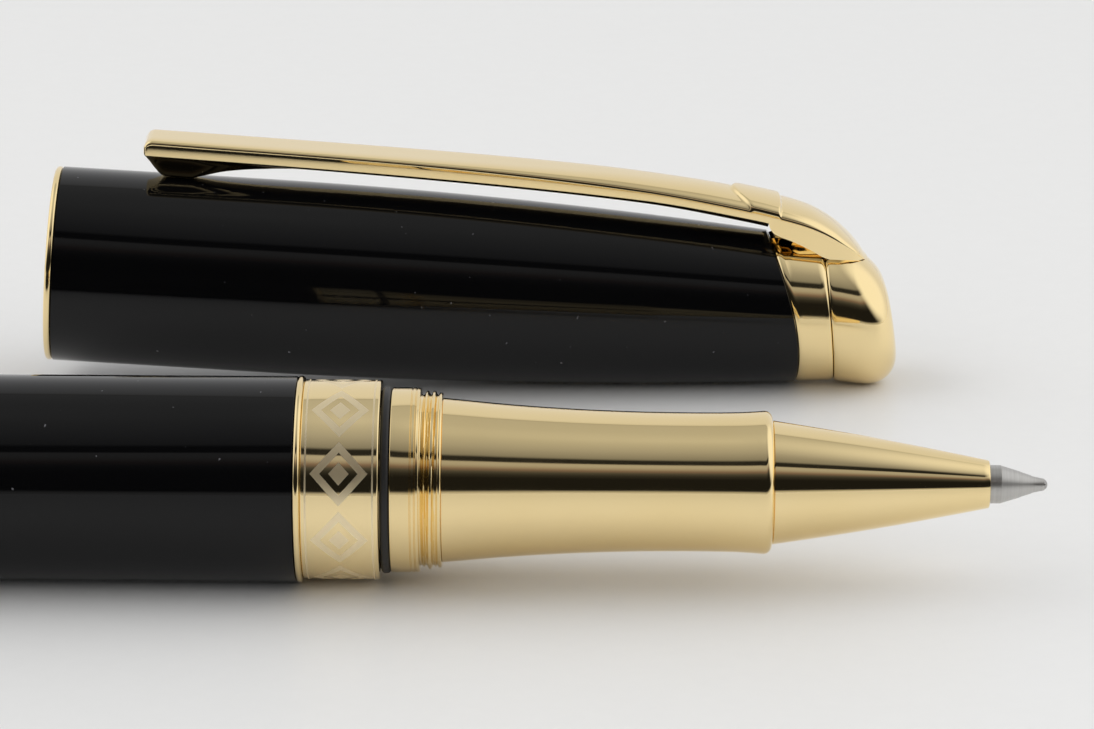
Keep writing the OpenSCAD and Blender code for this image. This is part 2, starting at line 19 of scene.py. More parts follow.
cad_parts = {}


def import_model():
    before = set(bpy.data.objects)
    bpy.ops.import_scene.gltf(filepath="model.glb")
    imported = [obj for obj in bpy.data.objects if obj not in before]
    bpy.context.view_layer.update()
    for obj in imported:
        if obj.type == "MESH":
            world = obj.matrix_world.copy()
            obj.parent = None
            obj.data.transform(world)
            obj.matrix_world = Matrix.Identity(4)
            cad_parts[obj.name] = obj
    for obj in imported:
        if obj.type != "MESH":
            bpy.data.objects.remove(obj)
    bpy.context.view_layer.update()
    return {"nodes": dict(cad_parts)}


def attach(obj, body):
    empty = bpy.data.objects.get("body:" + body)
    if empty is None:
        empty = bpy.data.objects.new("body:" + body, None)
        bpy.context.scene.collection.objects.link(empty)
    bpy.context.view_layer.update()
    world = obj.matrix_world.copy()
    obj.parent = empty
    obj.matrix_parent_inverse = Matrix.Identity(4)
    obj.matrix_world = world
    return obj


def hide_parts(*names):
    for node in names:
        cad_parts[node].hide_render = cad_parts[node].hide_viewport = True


MM = 0.001
WELD = 1.2e-6  # metres: closer vertices are one
LOG = logging.getLogger("pen")

Profile = Sequence[tuple[float, float]]
Rule = Callable[[float, float, float], tuple[float, float, float]]


def ease(share: float) -> float:
    """Returns a share clamped to 0..1 and smoothed at both ends."""
    t = min(1.0, max(0.0, share))
    return t * t * (3 - 2 * t)


def mix(a: float, b: float, share: float) -> float:
    """Returns the value a share of the way from a to b."""
    return a + (b - a) * share


def arc(x: float, r: float, radius: float, start: float, end: float, steps: int = 10) -> list:
    """Points of a circular arc in a turning profile.

    Args:
        x: Place of the arc's centre along the axis, in mm.
        r: Distance of the arc's centre from the axis, in mm.
        radius: Radius of the arc, in mm.
        start: First angle in degrees: 0 points along the axis and 90 away from it.
        end: Last angle in degrees.
        steps: Number of straight pieces.

    Returns:
        A list of (x, r) points, both ends included.
    """
    angles = [math.radians(mix(start, end, i / steps)) for i in range(steps + 1)]
    return [(x + radius * math.cos(a), r + radius * math.sin(a)) for a in angles]


def spread(start: float, end: float, steps: int) -> list[float]:
    """Returns steps + 1 evenly spaced values from start to end."""
    return [mix(start, end, i / steps) for i in range(steps + 1)]


class Curve:
    """A smooth line through (x, value) points that doesn't overshoot between them."""

    def __init__(self, *points: tuple[float, float]) -> None:
        """Takes the points in the order of x."""
        self.xs = [p[0] for p in points]
        self.vs = [p[1] for p in points]
        rises = [
            (b[1] - a[1]) / (b[0] - a[0]) for a, b in zip(points, points[1:])
        ]
        inner = [
            0.0 if a * b <= 0 else 2 * a * b / (a + b) for a, b in zip(rises, rises[1:])
        ]
        self.slopes = [rises[0], *inner, rises[-1]]

    def __call__(self, x: float) -> float:
        """Returns the value at x, held flat beyond both ends."""
        if x <= self.xs[0]:
            return self.vs[0]
        if x >= self.xs[-1]:
            return self.vs[-1]
        i = bisect_right(self.xs, x) - 1
        step = self.xs[i + 1] - self.xs[i]
        t = (x - self.xs[i]) / step
        return (
            (1 + 2 * t) * (1 - t) ** 2 * self.vs[i]
            + t * (1 - t) ** 2 * step * self.slopes[i]
            + t * t * (3 - 2 * t) * self.vs[i + 1]
            + t * t * (t - 1) * step * self.slopes[i + 1]
        )


class Bench:
    """The workbench: turns, shapes and cuts meshes with Blender's modelling tools."""

    around = 160
    smooth_below = math.radians(28)

    @staticmethod
    def clear() -> None:
        """Goes back to object mode with nothing selected."""
        if bpy.context.mode != "OBJECT":
            bpy.ops.object.mode_set(mode="OBJECT")
        bpy.ops.object.select_all(action="DESELECT")

    @classmethod
    def hold(cls, piece: bpy.types.Object) -> None:
        """Makes one piece the only selected and active object."""
        cls.clear()
        piece.select_set(True)
        bpy.context.view_layer.objects.active = piece

    @classmethod
    def turned(cls, name: str, profile: Profile, around: int = 0) -> bpy.types.Object:
        """Turns a profile about the X axis.

        Args:
            name: Name of the new piece.
            profile: (x, r) points in mm. They start and end on the axis, or form a loop.
            around: Number of facets round the axis, or 0 for the usual number.

        Returns:
            The new object, in metres, at the origin.
        """
        points = list(profile)
        if points[0][1] > 0:
            points.append(points[0])
        cls.clear()
        bpy.ops.mesh.primitive_plane_add(size=MM, location=(0, 0, 0))
        piece = bpy.context.active_object
        piece.name = piece.data.name = name
        bpy.ops.object.mode_set(mode="EDIT")
        bpy.ops.mesh.select_all(action="SELECT")
        bpy.ops.mesh.merge(type="CENTER")
        bpy.ops.transform.translate(value=(points[0][0] * MM, 0, points[0][1] * MM))
        for (xa, ra), (xb, rb) in zip(points, points[1:]):
            bpy.ops.mesh.extrude_region_move(
                TRANSFORM_OT_translate={"value": ((xb - xa) * MM, 0, (rb - ra) * MM)}
            )
        bpy.ops.mesh.select_all(action="SELECT")
        bpy.ops.mesh.spin(
            steps=around or cls.around, angle=2 * math.pi, center=(0, 0, 0), axis=(1, 0, 0)
        )
        cls.close_up()
        return piece

    @classmethod
    def close_up(cls) -> None:
        """In edit mode: welds doubles, turns faces outwards and leaves edit mode."""
        bpy.ops.mesh.select_all(action="SELECT")
        bpy.ops.mesh.remove_doubles(threshold=WELD)
        bpy.ops.mesh.normals_make_consistent(inside=False)
        bpy.ops.object.mode_set(mode="OBJECT")

    @classmethod
    def reshape(cls, piece: bpy.types.Object, rule: Rule) -> None:
        """Moves every vertex of a piece by a rule that takes and gives mm."""
        for vertex in piece.data.vertices:
            x, y, z = vertex.co / MM
            vertex.co = Vector(rule(x, y, z)) * MM
        piece.data.update()

    @classmethod
    def skinned(cls, name: str, rings: Sequence[Sequence[tuple]]) -> bpy.types.Object:
        """Wraps a grid round a row of closed cross-sections and caps both ends.

        Args:
            name: Name of the new piece.
            rings: Cross-sections with the same number of (x, y, z) points in mm each.

        Returns:
            The new object, in metres, at the origin.
        """
        rows, ribs = len(rings) - 1, len(rings[0])
        cls.clear()
        bpy.ops.mesh.primitive_grid_add(x_subdivisions=ribs, y_subdivisions=rows, size=1)
        piece = bpy.context.active_object
        piece.name = piece.data.name = name
        for vertex in piece.data.vertices:
            i = round((vertex.co.y + 0.5) * rows)
            k = round((vertex.co.x + 0.5) * ribs) % ribs
            vertex.co = Vector(rings[i][k]) * MM
        bpy.ops.object.mode_set(mode="EDIT")
        bpy.ops.mesh.select_all(action="SELECT")
        bpy.ops.mesh.remove_doubles(threshold=WELD)
        bpy.ops.mesh.select_all(action="DESELECT")
        bpy.ops.mesh.select_mode(type="EDGE")
        bpy.ops.mesh.select_non_manifold()
        bpy.ops.mesh.fill_holes(sides=0)
        bpy.ops.mesh.select_mode(type="VERT")
        cls.close_up()
        return piece

    @classmethod
    def block(
        cls, name: str, low: Sequence[float], high: Sequence[float], edge: float = 0.0
    ) -> bpy.types.Object:
        """Makes a box between two corners, with rounded edges if edge isn't 0.

        Args:
            name: Name of the new piece.
            low: Lowest corner in mm.
            high: Highest corner in mm.
            edge: Radius of the rounded edges in mm.

        Returns:
            The new object, in metres, at the origin.
        """
        cls.clear()
        bpy.ops.mesh.primitive_cube_add(size=1)
        piece = bpy.context.active_object
        piece.name = piece.data.name = name
        cls.reshape(
            piece,
            lambda x, y, z: tuple(
                mix(a, b, v * MM + 0.5) for a, b, v in zip(low, high, (x, y, z))
            ),
        )
        if edge:
            bpy.ops.object.mode_set(mode="EDIT")
            bpy.ops.mesh.select_all(action="SELECT")
            bpy.ops.mesh.bevel(offset=edge * MM, segments=3, affect="EDGES")
            bpy.ops.object.mode_set(mode="OBJECT")
        return piece

    @classmethod
    def cut(cls, piece: bpy.types.Object, tool: bpy.types.Object) -> None:
        """Cuts a tool out of a piece and throws the tool away."""
        cls.hold(piece)
        step = piece.modifiers.new("cut", "BOOLEAN")
        step.operation = "DIFFERENCE"
        step.solver = "EXACT"
        step.object = tool
        bpy.ops.object.modifier_apply(modifier=step.name)
        bpy.data.objects.remove(tool, do_unlink=True)

    @classmethod
    def smooth(cls, piece: bpy.types.Object) -> None:
        """Shades a piece smooth except across real corners."""
        cls.hold(piece)
        bpy.ops.object.shade_smooth_by_angle(angle=cls.smooth_below)


class Slot(Enum):
    """The part's material slots."""

    GOLD = "gold"
    LACQUER = "lacquer"
    BRASS = "brass"
    STEEL = "steel"
    TIP_STEEL = "tip_steel"
    BALL_CARBIDE = "ball_carbide"
    SEAL = "seal"
    SMOKE_PLASTIC = "smoke_plastic"
    CLEAR_PLASTIC = "clear_plastic"
    INK_FIBRE = "ink_fibre"


class Body(Enum):
    """The part's moving bodies."""

    BARREL = "barrel"
    REFILL = "refill"
    SECTION = "section"
    BALL = "ball"
    CAP = "cap"
    CLIP = "clip"


class Shader:
    """A material's node tree while it is put together."""

    def __init__(self, name: str) -> None:
        """Starts a material with a plain surface shader."""
        self.material = bpy.data.materials.new(name)
        self.material.use_nodes = True
        self.tree = self.material.node_tree
        self.surface = self.tree.nodes["Principled BSDF"]
        place = self.tree.nodes.new("ShaderNodeTexCoord")
        self.place = place.outputs["Object"]

    def set(self, **values: float | tuple) -> None:
        """Sets sockets of the surface, with spaces in their names as underscores."""
        for name, value in values.items():
            self.surface.inputs[name.replace("_", " ")].default_value = value

    def node(self, kind: str, inputs: dict | None = None, **settings: object) -> bpy.types.Node:
        """Adds a node.

        Args:
            kind: Blender's name of the node type.
            inputs: Values or output sockets for its inputs, by name or number.
            settings: Properties of the node.

        Returns:
            The new node.
        """
        made = self.tree.nodes.new(kind)
        for name, value in settings.items():
            setattr(made, name, value)
        for key, value in (inputs or {}).items():
            if isinstance(value, bpy.types.NodeSocket):
                self.tree.links.new(value, made.inputs[key])
            else:
                made.inputs[key].default_value = value
        return made

    def math(self, operation: str, a: object, b: object = 0.0) -> bpy.types.NodeSocket:
        """Returns the result of a Math node on two values or sockets."""
        return self.node("ShaderNodeMath", {0: a, 1: b}, operation=operation).outputs[0]

    def noise(
        self, scale: float, detail: float = 2.0, stretch: tuple = (1, 1, 1)
    ) -> bpy.types.NodeSocket:
        """Returns a noise of that many grains a metre, stretched along the axes."""
        mapped = self.node("ShaderNodeMapping", {"Vector": self.place, "Scale": stretch})
        grain = {"Vector": mapped.outputs[0], "Scale": scale, "Detail": detail}
        return self.node("ShaderNodeTexNoise", grain).outputs[0]

    def between(
        self, value: bpy.types.NodeSocket, low: float, high: float, a: float, b: float
    ) -> bpy.types.NodeSocket:
        """Returns value with low..high stretched to a..b, and held at both ends."""
        sockets = {"Value": value, "From Min": low, "From Max": high, "To Min": a, "To Max": b}
        return self.node("ShaderNodeMapRange", sockets).outputs[0]

    def blend(self, share: bpy.types.NodeSocket, a: tuple, b: tuple) -> bpy.types.NodeSocket:
        """Returns a colour a share of the way from a to b."""
        made = self.node("ShaderNodeMix", data_type="RGBA")
        self.tree.links.new(share, made.inputs[0])
        made.inputs[6].default_value = a
        made.inputs[7].default_value = b
        return made.outputs[2]

    def bump(self, height: bpy.types.NodeSocket, depth: float, strength: float = 1.0) -> None:
        """Raises the surface by height times depth, in metres."""
        made = self.node(
            "ShaderNodeBump", {"Height": height, "Distance": depth, "Strength": strength}
        )
        self.feed("Normal", made.outputs[0])

    def feed(self, name: str, value: bpy.types.NodeSocket) -> None:
        """Links a socket to the surface."""
        self.tree.links.new(value, self.surface.inputs[name])


@dataclass(frozen=True)
class Finish:
    """A finish that any piece can wear. Each kind of finish has one material."""

    slot: Slot

    def build(self) -> Shader:
        """Puts the finish together. Every kind of finish has its own."""
        raise NotImplementedError

    def dress(self, piece: bpy.types.Object) -> None:
        """Gives a piece this finish, and tells the frame which slot it comes from."""
        name = f"{type(self).__name__}_{self.slot.value}"
        material = bpy.data.materials.get(name) or self.named(name)
        piece.data.materials.clear()
        piece.data.materials.append(material)

    def named(self, name: str) -> bpy.types.Material:
        """Builds the material under its name."""
        material = self.build().material
        material.name = name
        return material


@dataclass(frozen=True)
class PolishedGold(Finish):
    """Gold plate polished to a mirror, with faint hairlines from wiping."""

    colour: tuple = (0.98, 0.79, 0.44, 1)
    deep: tuple = (0.95, 0.75, 0.39, 1)
    gloss: tuple = (0.035, 0.085)
    hairline: float = 5e-7

    def build(self) -> Shader:
        """Puts the finish together."""
        shader = Shader("gold")
        shader.set(Metallic=1.0)
        cloud = shader.noise(160.0, 3.0)
        shader.feed("Base Color", shader.blend(cloud, self.colour, self.deep))
        shader.feed("Roughness", shader.between(cloud, 0.3, 0.75, *self.gloss))
        shader.bump(shader.noise(4200.0, 2.0, (0.25, 1, 1)), self.hairline, 0.35)
        return shader


@dataclass(frozen=True)
class EtchedGold(Finish):
    """The centre band: polished gold with a matt etched row of lozenges round it."""

    colour: tuple = (0.98, 0.79, 0.44, 1)
    matt: tuple = (0.98, 0.83, 0.55, 1)
    lozenges: int = 9
    half_length: float = 1.72
    half_round: float = 1.95
    rim_line_at: float = 1.98
    rim_line: float = 0.06
    middle: float = -2.31
    band_radius: float = 5.98
    first_turn: float = 0.21
    hollow_size: float = 0.66
    heart_size: float = 0.36
    soft: float = 0.015
    matt_rough: float = 0.36
    etch_depth: float = 4e-6

    def build(self) -> Shader:
        """Puts the finish together."""
        shader = Shader("etched_gold")
        shader.set(Metallic=1.0)
        part = shader.node("ShaderNodeSeparateXYZ", {0: shader.place}).outputs
        along = shader.math("SUBTRACT", shader.math("DIVIDE", part[0], MM), self.middle)
        along = shader.math("ABSOLUTE", along)
        angle = shader.math("ARCTAN2", part[1], part[2])
        turn = shader.math("MULTIPLY", angle, self.lozenges / (2 * math.pi))
        turn = shader.math("ADD", turn, self.first_turn + self.lozenges)
        pitch = 2 * math.pi * self.band_radius / self.lozenges
        off = shader.math("SUBTRACT", shader.math("FRACT", turn), 0.5)
        off = shader.math("ABSOLUTE", shader.math("MULTIPLY", off, pitch))
        size = shader.math(
            "ADD",
            shader.math("DIVIDE", along, self.half_length),
            shader.math("DIVIDE", off, self.half_round),
        )
        outer, hollow, heart = (
            shader.between(size, edge, edge - self.soft, 0, 1)
            for edge in (1.0, self.hollow_size, self.heart_size)
        )
        etched = shader.math("ADD", shader.math("SUBTRACT", outer, hollow), heart)
        line = shader.math("ABSOLUTE", shader.math("SUBTRACT", along, self.rim_line_at))
        line = shader.between(line, self.rim_line, self.rim_line - self.soft, 0, 1)
        etched = shader.math("MAXIMUM", etched, line)
        shader.feed("Base Color", shader.blend(etched, self.colour, self.matt))
        cloud = shader.noise(160.0, 3.0)
        polish = shader.between(cloud, 0.3, 0.75, 0.04, 0.08)
        rough = shader.math("MULTIPLY", etched, self.matt_rough)
        shader.feed("Roughness", shader.math("ADD", polish, rough))
        grit = shader.math("MULTIPLY", shader.noise(30000.0, 1.0), etched)
        shader.bump(shader.math("SUBTRACT", grit, etched), self.etch_depth, 0.5)
        return shader


@dataclass(frozen=True)
class BlackLacquer(Finish):
    """Deep black lacquer polished to a mirror, with a few dust specks."""

    colour: tuple = (0.0022, 0.0022, 0.0025, 1)
    speck: tuple = (0.12, 0.12, 0.13, 1)

    def build(self) -> Shader:
        """Puts the finish together."""
        shader = Shader("lacquer")
        shader.set(IOR=1.34)
        dust = shader.between(shader.noise(2100.0, 1.0), 0.79, 0.82, 0, 1)
        shader.feed("Base Color", shader.blend(dust, self.colour, self.speck))
        haze = shader.noise(90.0, 2.0)
        shader.feed("Roughness", shader.between(haze, 0.3, 0.7, 0.04, 0.07))
        shader.bump(shader.noise(260.0, 1.0), 6e-7, 0.5)
        return shader


@dataclass(frozen=True)
class SealRubber(Finish):
    """Black moulded rubber with a dull shine."""

    def build(self) -> Shader:
        """Puts the finish together."""
        shader = Shader("rubber")
        shader.set(IOR=1.45)
        grain = shader.noise(5000.0, 3.0)
        shader.feed(
            "Base Color", shader.blend(grain, (0.008, 0.008, 0.008, 1), (0.02, 0.02, 0.02, 1))
        )
        shader.feed("Roughness", shader.between(grain, 0.3, 0.7, 0.38, 0.55))
        shader.bump(grain, 3e-6, 0.4)
        return shader


@dataclass(frozen=True)
class TurnedMetal(Finish):
    """Bare metal with the fine rings that a lathe leaves round X."""

    colour: tuple = (0.62, 0.61, 0.59, 1)
    dark: tuple = (0.45, 0.44, 0.42, 1)
    gloss: tuple = (0.2, 0.34)
    rings: float = 9000.0
    depth: float = 1.2e-6

    def build(self) -> Shader:
        """Puts the finish together."""
        shader = Shader("turned")
        shader.set(Metallic=1.0)
        rings = shader.noise(self.rings, 2.0, (1, 0.02, 0.02))
        shader.feed("Base Color", shader.blend(rings, self.colour, self.dark))
        shader.feed("Roughness", shader.between(rings, 0.3, 0.7, *self.gloss))
        shader.bump(rings, self.depth, 0.6)
        return shader


@dataclass(frozen=True)
class Plastic(Finish):
    """Moulded plastic, smoky or nearly clear."""

    colour: tuple = (0.03, 0.032, 0.036, 1)
    deep: tuple = (0.02, 0.021, 0.024, 1)
    clear: float = 0.0

    def build(self) -> Shader:
        """Puts the finish together."""
        shader = Shader("plastic")
        shader.set(IOR=1.49, Transmission_Weight=self.clear)
        flow = shader.noise(300.0, 2.0)
        shader.feed("Base Color", shader.blend(flow, self.colour, self.deep))
        shader.feed("Roughness", shader.between(flow, 0.3, 0.7, 0.18, 0.3))
        return shader


@dataclass(frozen=True)
class InkFibre(Finish):
    """Bundled fibre soaked with blue-black ink."""

    def build(self) -> Shader:
        """Puts the finish together."""
        shader = Shader("fibre")
        strands = shader.noise(7000.0, 2.0, (0.05, 1, 1))
        shader.feed(
            "Base Color", shader.blend(strands, (0.02, 0.03, 0.12, 1), (0.05, 0.07, 0.2, 1))
        )
        shader.feed("Roughness", shader.between(strands, 0.3, 0.7, 0.6, 0.85))
        shader.bump(strands, 2e-5, 0.6)
        return shader


GOLD = PolishedGold(Slot.GOLD)
ETCHED = EtchedGold(Slot.GOLD)
LACQUER = BlackLacquer(Slot.LACQUER)
BRASS = TurnedMetal(
    Slot.BRASS, (0.80, 0.58, 0.24, 1), (0.66, 0.46, 0.18, 1), (0.22, 0.36), 5000.0
)
STEEL = TurnedMetal(Slot.STEEL)
TIP_STEEL = TurnedMetal(
    Slot.TIP_STEEL, (0.60, 0.59, 0.57, 1), (0.46, 0.45, 0.43, 1), (0.30, 0.42), 14000.0
)
CARBIDE = TurnedMetal(
    Slot.BALL_CARBIDE, (0.42, 0.41, 0.40, 1), (0.34, 0.33, 0.32, 1), (0.1, 0.16), 9000.0, 1e-7
)
RUBBER = SealRubber(Slot.SEAL)
SMOKE = Plastic(Slot.SMOKE_PLASTIC)
CLEAR = Plastic(
    Slot.CLEAR_PLASTIC, (0.82, 0.84, 0.86, 1), (0.74, 0.77, 0.80, 1), 0.85
)
FIBRE = InkFibre(Slot.INK_FIBRE)


def finish_piece(piece: bpy.types.Object, node: str, body: Body, finish: Finish) -> None:
    """Dresses a new piece and lets it stand for its CAD node.

    Args:
        piece: The modelled piece, in place.
        node: The CAD node that it replaces.
        body: The body that it moves with.
        finish: What its surface looks like.
    """
    Bench.smooth(piece)
    finish.dress(piece)
    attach(piece, body.value)
    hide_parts(node)
    LOG.info("%s: %d faces, rides on %s", piece.name, len(piece.data.polygons), body.value)


@dataclass
class Thread:
    """A screw thread cut round the X axis, in mm."""

    start: float
    end: float
    root: float
    crest: float
    pitch: float
    grain: int = 12
    flat: float = 0.3

    def profile(self) -> list[tuple[float, float]]:
        """Returns a plain cylinder with enough rows to carry the thread."""
        rows = round((self.end - self.start) / self.pitch * self.grain)
        return [(x, self.root) for x in spread(self.start, self.end, rows)]

    def raised(self, x: float, y: float, z: float) -> tuple[float, float, float]:
        """Moves a point of the plain cylinder out to the thread's surface."""
        r = math.hypot(y, z)
        if not self.start - 1e-4 <= x <= self.end + 1e-4 or abs(r - self.root) > 0.01:
            return x, y, z
        turn = (x - self.start) / self.pitch - math.atan2(y, z) / (2 * math.pi)
        wave = 1 - abs(2 * (turn % 1.0) - 1)
        wave = ease(min(1.0, wave / (1 - self.flat)))
        fade = ease((x - self.start) / self.pitch * 2) * ease((self.end - x) / self.pitch * 2)
        grown = (r + (self.crest - self.root) * wave * fade) / r
        return x, y * grown, z * grown


@dataclass
class Barrel:
    """The lacquered barrel with its gold trim."""

    radius: float = 6.15
    tail_radius: float = 4.5
    front: float = -5.04
    straight: float = 42.0
    taper: float = 30.0
    wall: float = 0.9
    lip: float = 0.85
    lip_bore: float = 3.05
    ring_radius: float = 6.2
    band_radius: float = 5.98
    band_width: float = 4.62
    tail_ring_width: float = 0.6
    button: float = 3.3
    button_corner: float = 1.3
    screw_radius: float = 1.5
    tail: float = field(init=False)

    def __post_init__(self) -> None:
        """Works out where the lacquered tube ends."""
        self.tail = self.front - self.straight - self.taper

    def radius_at(self, x: float) -> float:
        """Returns the tube's outer radius at x."""
        deep = max(0.0, self.front - self.straight - x) / self.taper
        return self.radius - (self.radius - self.tail_radius) * deep**2

    def shell(self) -> bpy.types.Object:
        """Turns the lacquered tube, hollow and open at both ends."""
        bend = self.front - self.straight
        outer = [(x, self.radius_at(x)) for x in spread(bend, self.tail + 0.08, 30)]
        inner = [
            (x, self.radius_at(x) - self.wall) for x in spread(self.tail + self.lip, bend, 14)
        ]
        return Bench.turned("lacquered_barrel", [
            (self.front, self.radius - self.wall), (self.front, self.radius - 0.06),
            (self.front - 0.02, self.radius - 0.02), (self.front - 0.07, self.radius),
            *outer, (self.tail, self.tail_radius - 0.08), (self.tail, self.lip_bore),
            (self.tail + self.lip, self.lip_bore), *inner,
        ])

    def bead(self) -> bpy.types.Object:
        """Turns the half-round gold ring between lacquer and band."""
        half = (-self.band_width - self.front) / 2
        middle = self.front + half
        bore = self.radius - self.wall
        return Bench.turned("barrel_bead", [
            (self.front, bore), *arc(middle, self.ring_radius - half, half, 180, 0, 14),
            (self.front + 2 * half, bore),
        ])

    def band(self) -> bpy.types.Object:
        """Turns the wide etched gold band."""
        bore = self.radius - self.wall
        edge = 0.11
        top = self.band_radius
        return Bench.turned("etched_band", [
            (-self.band_width, bore), (-self.band_width, top - edge),
            *arc(-self.band_width + edge, top - edge, edge, 180, 90, 5),
            (-self.band_width / 2, top),
            *arc(-edge, top - edge, edge, 90, 0, 5),
            (0, bore),
        ], 192)

    def end_ring(self) -> bpy.types.Object:
        """Turns the gold ring at the tail."""
        half = self.tail_ring_width / 2
        middle = self.tail - half
        return Bench.turned("tail_bead", [
            (self.tail - 2 * half, self.screw_radius),
            *arc(middle, self.tail_radius + 0.05 - half, half, 180, 0, 12),
            (self.tail, self.screw_radius),
        ], 96)

    def end_button(self) -> bpy.types.Object:
        """Turns the rounded gold button that closes the tail."""
        front = self.tail - self.tail_ring_width
        back = front - self.button
        radius = self.tail_radius - 0.1
        corner = self.button_corner
        return Bench.turned("tail_button", [
            (back + 1, 0), (back + 1, self.screw_radius), (front, self.screw_radius),
            (front, radius - 0.08), (front - 0.08, radius),
            *arc(back + corner, radius - corner, corner, 90, 180, 14),
            (back, 1.2), (back, 0),
        ], 128)

    def build(self) -> None:
        """Makes the barrel's pieces and hands them to the frame."""
        finish_piece(self.shell(), "barrel_shell", Body.BARREL, LACQUER)
        finish_piece(self.bead(), "barrel_ring", Body.BARREL, GOLD)
        finish_piece(self.band(), "centre_band", Body.BARREL, ETCHED)
        finish_piece(self.end_ring(), "tail_ring", Body.BARREL, GOLD)
        finish_piece(self.end_button(), "tail_cap", Body.BARREL, GOLD)


@dataclass
class Section:
    """The gold front section: collar, cap thread, grip and nose cone."""

    bore: float = 3.3
    tenon: float = 10.0
    collar_radius: float = 5.54
    collar_start: float = 0.62
    collar_end: float = 2.34
    seal_seat: float = 5.0
    seal_radius: float = 5.6
    grip_start: float = 3.66
    grip_end: float = 23.36
    grip_round: float = 0.5
    front_tenon: float = 8.66
    front_tenon_radius: float = 4.1
    stop: float = 21.76
    cone_socket: float = 3.4
    neck_bore: float = 1.7
    neck_end: float = 31.26
    tip_bore: float = 1.2
    groove_starts: tuple[float, ...] = (1.80, 2.06)
    groove: float = 0.045
    last_bead: tuple[float, float, float] = (3.53, 5.12, 0.13)
    cone_end: float = 36.36
    cone_base: float = 3.71
    cone_mouth: float = 1.45
    joint_thread: Thread = field(
        default_factory=lambda: Thread(-9.0, -3.4, 4.25, 4.55, 0.7)
    )
    cap_thread: Thread = field(
        default_factory=lambda: Thread(2.46, 3.40, 5.10, 5.34, 0.45, 14, 0.25)
    )
    grip_line: Curve = field(default_factory=lambda: Curve(
        (3.66, 4.93), (5.0, 4.81), (7.2, 4.61), (10.1, 4.41), (13.1, 4.265),
        (16.1, 4.185), (19.0, 4.165), (21.0, 4.185), (22.2, 4.24), (22.86, 4.29),
    ))

    def collar(self) -> bpy.types.Object:
        """Turns the collar with its fine grooves, both threads and both tenons."""
        top = self.collar_radius
        low = top - self.groove
        grooves = [
            point for at in self.groove_starts
            for point in ((at, top), (at + 0.03, low), (at + 0.07, low), (at + 0.10, top))
        ]
        lead = self.joint_thread
        cap = self.cap_thread
        piece = Bench.turned("threaded_collar", [
            (-self.tenon, self.bore), (-self.tenon, lead.root - 0.1),
            (-self.tenon + 0.15, lead.root), *lead.profile(),
            (0.02, lead.root), (0.02, self.seal_seat), (self.collar_start, self.seal_seat),
            *arc(self.collar_start + 0.07, top - 0.07, 0.07, 180, 90, 4), *grooves,
            *arc(self.collar_end - 0.06, top - 0.1, 0.06, 90, 0, 4),
            (self.collar_end + 0.02, cap.root + 0.05), *cap.profile(),
            *arc(*self.last_bead, 160, 0, 8), (self.grip_start, 4.95),
            (self.grip_start, self.front_tenon_radius),
            (self.front_tenon, self.front_tenon_radius), (self.front_tenon, self.bore),
        ], 192)
        Bench.reshape(piece, lead.raised)
        Bench.reshape(piece, cap.raised)
        return piece

    def seal(self) -> bpy.types.Object:
        """Turns the rubber ring in its groove behind the collar."""
        start, end, corner = 0.05, 0.60, 0.22
        return Bench.turned("rubber_seal", [
            (start, self.seal_seat),
            *arc(start + corner, self.seal_radius - corner, corner, 180, 90, 8),
            *arc(end - corner, self.seal_radius - corner, corner, 90, 0, 8),
            (end, self.seal_seat),
        ], 160)

    def grip(self) -> bpy.types.Object:
        """Turns the waisted grip with the bead at its front end."""
        turn_at = self.grip_end - self.grip_round
        line = [(x, self.grip_line(x)) for x in spread(self.grip_start, turn_at, 60)]
        bead = arc(turn_at, line[-1][1] - self.grip_round, self.grip_round, 88, 4, 14)
        return Bench.turned("waisted_grip", [
            (self.grip_start, self.front_tenon_radius),
            (self.grip_start, line[0][1] - 0.04), (self.grip_start + 0.03, line[0][1]),
            *line[1:], *bead,
            (self.grip_end, self.cone_socket), (self.stop - 0.02, self.cone_socket),
            (self.stop - 0.02, self.bore),
            (self.front_tenon + 0.02, self.bore),
            (self.front_tenon + 0.02, self.front_tenon_radius),
        ], 192)

    def cone(self) -> bpy.types.Object:
        """Turns the long nose cone, hollow for the refill's neck."""
        start = self.grip_end + 0.02
        edge = 0.1
        swell = 0.1
        spigot = self.cone_socket - 0.02
        line = [
            (mix(start + 0.05, self.cone_end - edge, s),
             mix(self.cone_base, self.cone_mouth, s) + swell * math.sin(math.pi * s))
            for s in spread(0, 1, 40)
        ]
        return Bench.turned("nose_cone_gold", [
            (self.stop, self.neck_bore), (self.stop, spigot), (start, spigot),
            (start, self.cone_base - 0.06),
            *line, (self.cone_end - 0.03, self.cone_mouth - 0.03),
            (self.cone_end, self.cone_mouth - edge), (self.cone_end, self.tip_bore),
            (self.neck_end, self.tip_bore), (self.neck_end, self.neck_bore),
        ], 192)

    def build(self) -> None:
        """Makes the section's pieces and hands them to the frame."""
        finish_piece(self.collar(), "section_collar", Body.SECTION, GOLD)
        finish_piece(self.seal(), "seal_ring", Body.SECTION, RUBBER)
        finish_piece(self.grip(), "grip", Body.SECTION, GOLD)
        finish_piece(self.cone(), "nose_cone", Body.SECTION, GOLD)


